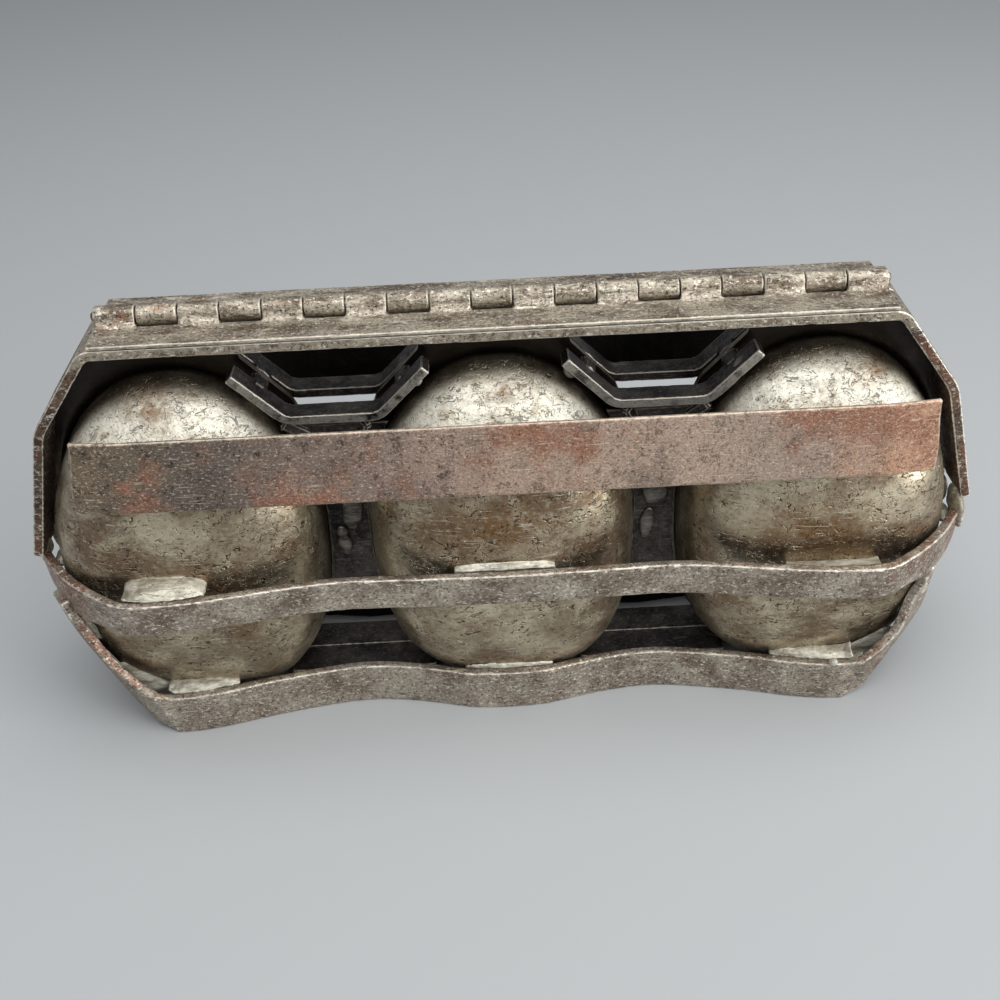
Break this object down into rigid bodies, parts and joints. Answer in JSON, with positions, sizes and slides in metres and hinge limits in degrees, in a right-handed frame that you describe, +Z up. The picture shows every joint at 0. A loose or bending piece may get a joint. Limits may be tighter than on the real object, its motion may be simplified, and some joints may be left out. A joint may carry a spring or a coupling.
{
  "type": "hinged chocolate mould",
  "caption": "Hinged metal mould for moulding hollow chocolate eggs: two halves of drawn shells in a bent bar frame, folding on one long hinge.",
  "frame": {"origin": "middle of the mould's footprint on the floor, closed and standing on its bottom straps", "axes": "+X along the hinge pin, -Y towards the front half's outside, +Z up towards the hinge"},
  "size_m": [0.309, 0.0892, 0.147],
  "materials": {
    "tinned_shell": "tinned, dull and mottled",
    "rusted_frame": "rough, rust-brown",
    "crown_band": "rust-brown, speckled",
    "worn_strap": "grey-brown, bright worn edges",
    "dark_tie": "darkened, grey edges",
    "hinge_steel": "pale, tarnished",
    "pin_steel": "plain steel",
    "solder": "dull solder"
  },
  "bodies": {
    "rear_half": {"rear_egg_shell_left": "tinned_shell", "rear_egg_shell_middle": "tinned_shell", "rear_egg_shell_right": "tinned_shell", "rear_frame_band": "rusted_frame", "rear_crown_strap": "crown_band", "rear_middle_strap": "worn_strap", "rear_bottom_strap": "worn_strap", "rear_top_tie_left": "dark_tie", "rear_low_tie_left": "dark_tie", "rear_web_left": "dark_tie", "rear_top_tie_right": "dark_tie", "rear_low_tie_right": "dark_tie", "rear_web_right": "dark_tie", "rear_hinge_leaf": "hinge_steel", "rear_crown_solder_left": "solder", "rear_crown_solder_middle": "solder", "rear_crown_solder_right": "solder", "rear_middle_solder_left": "solder", "rear_middle_solder_middle": "solder", "rear_middle_solder_right": "solder", "rear_bottom_solder_left": "solder", "rear_bottom_solder_middle": "solder", "rear_bottom_solder_right": "solder", "hinge_pin": "pin_steel"},
    "front_half": {"front_egg_shell_left": "tinned_shell", "front_egg_shell_middle": "tinned_shell", "front_egg_shell_right": "tinned_shell", "front_frame_band": "rusted_frame", "front_crown_strap": "crown_band", "front_middle_strap": "worn_strap", "front_bottom_strap": "worn_strap", "front_top_tie_left": "dark_tie", "front_low_tie_left": "dark_tie", "front_web_left": "dark_tie", "front_top_tie_right": "dark_tie", "front_low_tie_right": "dark_tie", "front_web_right": "dark_tie", "front_hinge_leaf": "hinge_steel", "front_crown_solder_left": "solder", "front_crown_solder_middle": "solder", "front_crown_solder_right": "solder", "front_middle_solder_left": "solder", "front_middle_solder_middle": "solder", "front_middle_solder_right": "solder", "front_bottom_solder_left": "solder", "front_bottom_solder_middle": "solder", "front_bottom_solder_right": "solder"}
  },
  "joints": [
    {"name": "front_half_hinge", "type": "hinge", "parent": "rear_half", "child": "front_half", "pos_m": [0, 0, 0.1437], "axis": [-1, 0, 0], "range_deg": [0, 180]}
  ]
}
